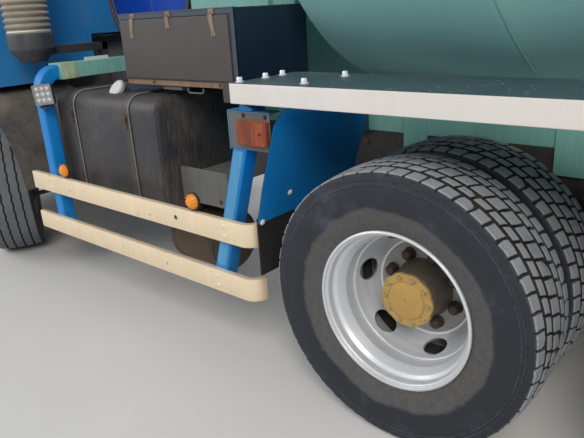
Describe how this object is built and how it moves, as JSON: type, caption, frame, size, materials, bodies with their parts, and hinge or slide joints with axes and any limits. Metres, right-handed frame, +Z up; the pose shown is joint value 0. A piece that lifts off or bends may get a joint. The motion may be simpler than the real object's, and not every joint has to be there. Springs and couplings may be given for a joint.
{
  "type": "concrete mixer truck",
  "caption": "Concrete mixer truck with a tilted turning drum, charging hopper, swivelling chute, steered front axle, rolling twin wheels and opening cab doors.",
  "frame": {"origin": "on the ground, under the middle of the overall box", "axes": "+X forward, +Y to the truck's left, +Z up"},
  "size_m": [8, 2.86, 3.7],
  "materials": {
    "chassis_black": "satin",
    "drivetrain_grey": "satin",
    "mixer_green": "satin",
    "drum_green": "satin",
    "hopper_green": "satin",
    "roller_steel": "satin",
    "tyre_rubber": "matte",
    "wheel_silver": "satin",
    "guard_aluminium": "satin",
    "deck_dark": "satin",
    "blue_paint": "satin",
    "flap_rubber": "matte",
    "tank_dark": "satin",
    "air_tank_brown": "satin",
    "tray_grey": "satin",
    "box_dark": "satin",
    "box_lid": "satin",
    "water_blue": "satin",
    "intake_plastic": "matte",
    "cab_paint": "gloss",
    "cab_glass": "gloss",
    "cab_trim": "matte",
    "bumper_grey": "satin",
    "lamp_clear": "gloss",
    "lamp_amber": "gloss",
    "lamp_red": "gloss"
  },
  "bodies": {
    "truck": {"air_intake": "intake_plastic", "air_tanks": "air_tank_brown", "axles": "chassis_black", "battery_trays": "tray_grey", "cab_glass": "cab_glass", "cab_interior": "cab_trim", "cab_shell": "cab_paint", "chassis_frame": "chassis_black", "deck_edges": "guard_aluminium", "deck_plates": "deck_dark", "drum_drive": "drivetrain_grey", "engine": "drivetrain_grey", "front_bumper": "bumper_grey", "front_mudguards": "intake_plastic", "front_pedestal": "mixer_green", "fuel_tank": "tank_dark", "grille": "cab_trim", "guard_posts": "blue_paint", "guard_rails": "guard_aluminium", "hopper": "hopper_green", "hopper_frame": "mixer_green", "lamps_amber": "lamp_amber", "lamps_clear": "lamp_clear", "lamps_red": "lamp_red", "mirrors": "cab_trim", "mud_flaps": "flap_rubber", "rear_ladder": "mixer_green", "rear_mudguards": "blue_paint", "rear_pedestal": "mixer_green", "subframe": "mixer_green", "suspension": "chassis_black", "toolbox": "box_dark", "water_tank": "water_blue"},
    "steer_left": {"knuckle_left": "chassis_black"},
    "steer_right": {"knuckle_right": "chassis_black"},
    "tie": {"track_rod": "chassis_black"},
    "wheel_front_left": {"front_wheel_left": "wheel_silver", "front_tyre_left": "tyre_rubber"},
    "wheel_front_right": {"front_wheel_right": "wheel_silver", "front_tyre_right": "tyre_rubber"},
    "drum_body": {"drum": "drum_green", "drum_cone": "drum_green"},
    "roller_left": {"drum_roller_left": "roller_steel"},
    "roller_right": {"drum_roller_right": "roller_steel"},
    "cab_door_left": {"door_left": "cab_paint", "door_glass_left": "cab_glass"},
    "cab_door_right": {"door_right": "cab_paint", "door_glass_right": "cab_glass"},
    "box_lid": {"toolbox_lid": "box_lid"},
    "swivel": {"chute_swivel": "hopper_green"},
    "chute": {"main_chute": "hopper_green"},
    "extension": {"chute_extension": "hopper_green"},
    "duals_front_left": {"dual_wheel_front_left": "wheel_silver", "dual_tyres_front_left": "tyre_rubber"},
    "duals_front_right": {"dual_wheel_front_right": "wheel_silver", "dual_tyres_front_right": "tyre_rubber"},
    "duals_back_left": {"dual_wheel_back_left": "wheel_silver", "dual_tyres_back_left": "tyre_rubber"},
    "duals_back_right": {"dual_wheel_back_right": "wheel_silver", "dual_tyres_back_right": "tyre_rubber"}
  },
  "joints": [
    {"name": "steer_left", "type": "hinge", "parent": "truck", "child": "steer_left", "pos_m": [2.55, 0.9, 0.53], "axis": [0, 0, 1], "range_deg": [-10, 66]},
    {"name": "steer_right", "type": "hinge", "parent": "truck", "child": "steer_right", "pos_m": [2.55, -0.9, 0.53], "axis": [0, 0, 1], "range_deg": [-10, 66]},
    {"name": "tie_rod_end", "type": "hinge", "parent": "steer_left", "child": "tie", "pos_m": [2.38224, 0.9892, 0.413], "axis": [0, 0, 1], "range_deg": [-66, 10]},
    {"name": "front_roll_left", "type": "hinge", "parent": "steer_left", "child": "wheel_front_left", "pos_m": [2.61573, 1.02361, 0.53], "axis": [0.4695, 0.8829, 0], "continuous": true},
    {"name": "front_roll_right", "type": "hinge", "parent": "steer_right", "child": "wheel_front_right", "pos_m": [2.48427, -1.02361, 0.53], "axis": [0.4695, 0.8829, 0], "continuous": true},
    {"name": "roll_front_left", "type": "hinge", "parent": "truck", "child": "duals_front_left", "pos_m": [-0.75, 0.914, 0.53], "axis": [0, 1, 0], "continuous": true},
    {"name": "roll_front_right", "type": "hinge", "parent": "truck", "child": "duals_front_right", "pos_m": [-0.75, -0.914, 0.53], "axis": [0, 1, 0], "continuous": true},
    {"name": "roll_back_left", "type": "hinge", "parent": "truck", "child": "duals_back_left", "pos_m": [-2.1, 0.914, 0.53], "axis": [0, 1, 0], "continuous": true},
    {"name": "roll_back_right", "type": "hinge", "parent": "truck", "child": "duals_back_right", "pos_m": [-2.1, -0.914, 0.53], "axis": [0, 1, 0], "continuous": true},
    {"name": "drum_turn", "type": "hinge", "parent": "truck", "child": "drum_body", "pos_m": [-0.75, 0, 2.185], "axis": [0.9744, 0, -0.225], "continuous": true},
    {"name": "roller_turn_left", "type": "hinge", "parent": "truck", "child": "roller_left", "pos_m": [-2.83907, 0.52515, 1.80478], "axis": [0.9744, 0, -0.225], "continuous": true},
    {"name": "roller_turn_right", "type": "hinge", "parent": "truck", "child": "roller_right", "pos_m": [-2.83907, -0.52515, 1.80478], "axis": [0.9744, 0, -0.225], "continuous": true},
    {"name": "door_swing_left", "type": "hinge", "parent": "truck", "child": "cab_door_left", "pos_m": [3.58, 1.152, 1.98], "axis": [0, 0, 1], "range_deg": [-75, 0]},
    {"name": "door_swing_right", "type": "hinge", "parent": "truck", "child": "cab_door_right", "pos_m": [3.58, -1.152, 1.98], "axis": [0, 0, 1], "range_deg": [0, 75]},
    {"name": "box_lid_drop", "type": "hinge", "parent": "truck", "child": "box_lid", "pos_m": [0.557, 1.013, 1.282], "axis": [1, 0, 0], "range_deg": [-90, 0]},
    {"name": "chute_slew", "type": "hinge", "parent": "truck", "child": "swivel", "pos_m": [-3.68, 0, 1.3], "axis": [0, 0, 1], "range_deg": [-180, 0]},
    {"name": "chute_tilt", "type": "hinge", "parent": "swivel", "child": "chute", "pos_m": [-3.68, 0, 1.56], "axis": [1, 0, 0], "range_deg": [0, 34]},
    {"name": "extension_fold", "type": "hinge", "parent": "chute", "child": "extension", "pos_m": [-3.68, -1.06907, 1.97328], "axis": [1, 0, 0], "range_deg": [0, 178]}
  ],
  "couplings": [
    {"joint": "steer_right", "follows": "steer_left", "ratio": 1},
    {"joint": "tie_rod_end", "follows": "steer_left", "ratio": -1},
    {"joint": "roller_turn_left", "follows": "drum_turn", "ratio": -6.92},
    {"joint": "roller_turn_right", "follows": "drum_turn", "ratio": -6.92}
  ]
}
